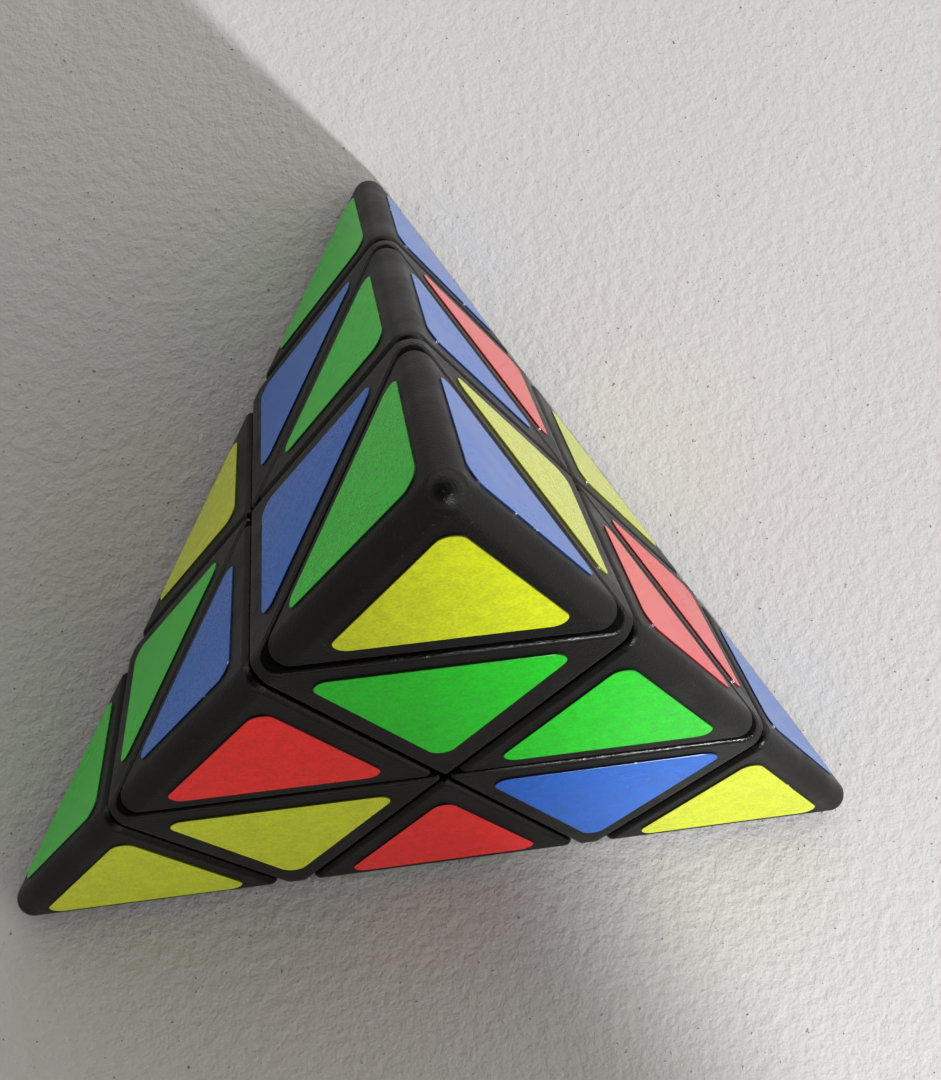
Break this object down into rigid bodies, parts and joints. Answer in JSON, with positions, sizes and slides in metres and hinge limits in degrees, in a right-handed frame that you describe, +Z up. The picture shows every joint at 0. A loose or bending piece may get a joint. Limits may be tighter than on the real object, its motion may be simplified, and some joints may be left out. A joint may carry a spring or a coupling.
{
  "type": "pyramid twisty puzzle",
  "caption": "Triangular pyramid twisty puzzle: stickered corner, tip and edge pieces of black plastic turn about a sprung core.",
  "frame": {"origin": "the middle of the core, where the four turning axes meet; it is also the pyramid's centroid", "axes": "+Z up through the apex; the lower front edge is parallel to X on the -Y side, and the back corner lies towards +Y"},
  "size_m": [0.1002, 0.0869, 0.0819],
  "materials": {
    "black_plastic": "satin moulded ABS with a fine grain",
    "core_plastic": "plain moulded ABS",
    "screw_steel": "zinc-plated steel",
    "spring_steel": "bright spring wire",
    "sticker_yellow": "semi-gloss vinyl",
    "sticker_green": "semi-gloss vinyl",
    "sticker_blue": "semi-gloss vinyl",
    "sticker_red": "semi-gloss vinyl"
  },
  "bodies": {
    "core": {"core": "core_plastic", "axle_screws": "screw_steel", "spring_washers": "screw_steel", "axle_springs": "spring_steel"},
    "corner_apex": {"axial_apex": "black_plastic", "sticker_front_axial_apex": "sticker_green", "sticker_right_axial_apex": "sticker_yellow", "sticker_left_axial_apex": "sticker_blue"},
    "tip_apex": {"tip_base_apex": "black_plastic", "tip_cap_apex": "black_plastic", "sticker_front_tip_apex": "sticker_yellow", "sticker_right_tip_apex": "sticker_blue", "sticker_left_tip_apex": "sticker_green"},
    "corner_back": {"axial_back": "black_plastic", "sticker_base_axial_back": "sticker_green", "sticker_right_axial_back": "sticker_red", "sticker_left_axial_back": "sticker_blue"},
    "tip_back": {"tip_base_back": "black_plastic", "tip_cap_back": "black_plastic", "sticker_base_tip_back": "sticker_red", "sticker_right_tip_back": "sticker_blue", "sticker_left_tip_back": "sticker_green"},
    "corner_left": {"axial_left": "black_plastic", "sticker_base_axial_left": "sticker_red", "sticker_front_axial_left": "sticker_yellow", "sticker_left_axial_left": "sticker_green"},
    "tip_left": {"tip_base_left": "black_plastic", "tip_cap_left": "black_plastic", "sticker_base_tip_left": "sticker_red", "sticker_front_tip_left": "sticker_yellow", "sticker_left_tip_left": "sticker_green"},
    "corner_right": {"axial_right": "black_plastic", "sticker_base_axial_right": "sticker_yellow", "sticker_front_axial_right": "sticker_blue", "sticker_right_axial_right": "sticker_red"},
    "tip_right": {"tip_base_right": "black_plastic", "tip_cap_right": "black_plastic", "sticker_base_tip_right": "sticker_red", "sticker_front_tip_right": "sticker_yellow", "sticker_right_tip_right": "sticker_blue"},
    "edge_apex_back": {"edge_apex_back": "black_plastic", "sticker_right_edge_apex_back": "sticker_blue", "sticker_left_edge_apex_back": "sticker_green"},
    "edge_apex_left": {"edge_apex_left": "black_plastic", "sticker_front_edge_apex_left": "sticker_red", "sticker_left_edge_apex_left": "sticker_blue"},
    "edge_apex_right": {"edge_apex_right": "black_plastic", "sticker_front_edge_apex_right": "sticker_green", "sticker_right_edge_apex_right": "sticker_red"},
    "edge_back_left": {"edge_back_left": "black_plastic", "sticker_base_edge_back_left": "sticker_blue", "sticker_left_edge_back_left": "sticker_yellow"},
    "edge_back_right": {"edge_back_right": "black_plastic", "sticker_base_edge_back_right": "sticker_green", "sticker_right_edge_back_right": "sticker_yellow"},
    "edge_left_right": {"edge_left_right": "black_plastic", "sticker_base_edge_left_right": "sticker_yellow", "sticker_front_edge_left_right": "sticker_red"}
  },
  "joints": [
    {"name": "corner_apex_turn", "type": "hinge", "parent": "core", "child": "corner_apex", "pos_m": [0, 0, 0], "axis": [0, 0, 1], "range_deg": [-240, 120]},
    {"name": "corner_back_turn", "type": "hinge", "parent": "core", "child": "corner_back", "pos_m": [0, 0, 0], "axis": [0, 0.9428, -0.3333], "range_deg": [-240, 120]},
    {"name": "corner_left_turn", "type": "hinge", "parent": "core", "child": "corner_left", "pos_m": [0, 0, 0], "axis": [-0.8165, -0.4714, -0.3333], "range_deg": [-240, 120]},
    {"name": "corner_right_turn", "type": "hinge", "parent": "core", "child": "corner_right", "pos_m": [0, 0, 0], "axis": [0.8165, -0.4714, -0.3333], "range_deg": [-240, 120]},
    {"name": "tip_apex_turn", "type": "hinge", "parent": "corner_apex", "child": "tip_apex", "pos_m": [0, 0, 0], "axis": [0, 0, 1], "continuous": true},
    {"name": "tip_back_turn", "type": "hinge", "parent": "corner_back", "child": "tip_back", "pos_m": [0, 0, 0], "axis": [0, 0.9428, -0.3333], "continuous": true},
    {"name": "tip_left_turn", "type": "hinge", "parent": "corner_left", "child": "tip_left", "pos_m": [0, 0, 0], "axis": [-0.8165, -0.4714, -0.3333], "continuous": true},
    {"name": "tip_right_turn", "type": "hinge", "parent": "corner_right", "child": "tip_right", "pos_m": [0, 0, 0], "axis": [0.8165, -0.4714, -0.3333], "continuous": true},
    {"name": "edge_apex_back_carry", "type": "hinge", "parent": "corner_apex", "child": "edge_apex_back", "pos_m": [0, 0, 0], "axis": [0, 0.9428, -0.3333], "range_deg": [-240, 120]},
    {"name": "edge_apex_left_carry", "type": "hinge", "parent": "corner_apex", "child": "edge_apex_left", "pos_m": [0, 0, 0], "axis": [-0.8165, -0.4714, -0.3333], "range_deg": [-240, 120]},
    {"name": "edge_apex_right_carry", "type": "hinge", "parent": "corner_apex", "child": "edge_apex_right", "pos_m": [0, 0, 0], "axis": [0.8165, -0.4714, -0.3333], "range_deg": [-240, 120]},
    {"name": "edge_back_left_carry", "type": "hinge", "parent": "corner_back", "child": "edge_back_left", "pos_m": [0, 0, 0], "axis": [-0.8165, -0.4714, -0.3333], "range_deg": [-240, 120]},
    {"name": "edge_left_right_carry", "type": "hinge", "parent": "corner_left", "child": "edge_left_right", "pos_m": [0, 0, 0], "axis": [0.8165, -0.4714, -0.3333], "range_deg": [-240, 120]},
    {"name": "edge_back_right_carry", "type": "hinge", "parent": "corner_right", "child": "edge_back_right", "pos_m": [0, 0, 0], "axis": [0, 0.9428, -0.3333], "range_deg": [-240, 120]}
  ],
  "couplings": [
    {"joint": "edge_apex_back_carry", "follows": "corner_back_turn", "ratio": 1},
    {"joint": "edge_apex_left_carry", "follows": "corner_left_turn", "ratio": 1},
    {"joint": "edge_apex_right_carry", "follows": "corner_right_turn", "ratio": 1},
    {"joint": "edge_back_left_carry", "follows": "corner_left_turn", "ratio": 1},
    {"joint": "edge_left_right_carry", "follows": "corner_right_turn", "ratio": 1},
    {"joint": "edge_back_right_carry", "follows": "corner_back_turn", "ratio": 1}
  ]
}
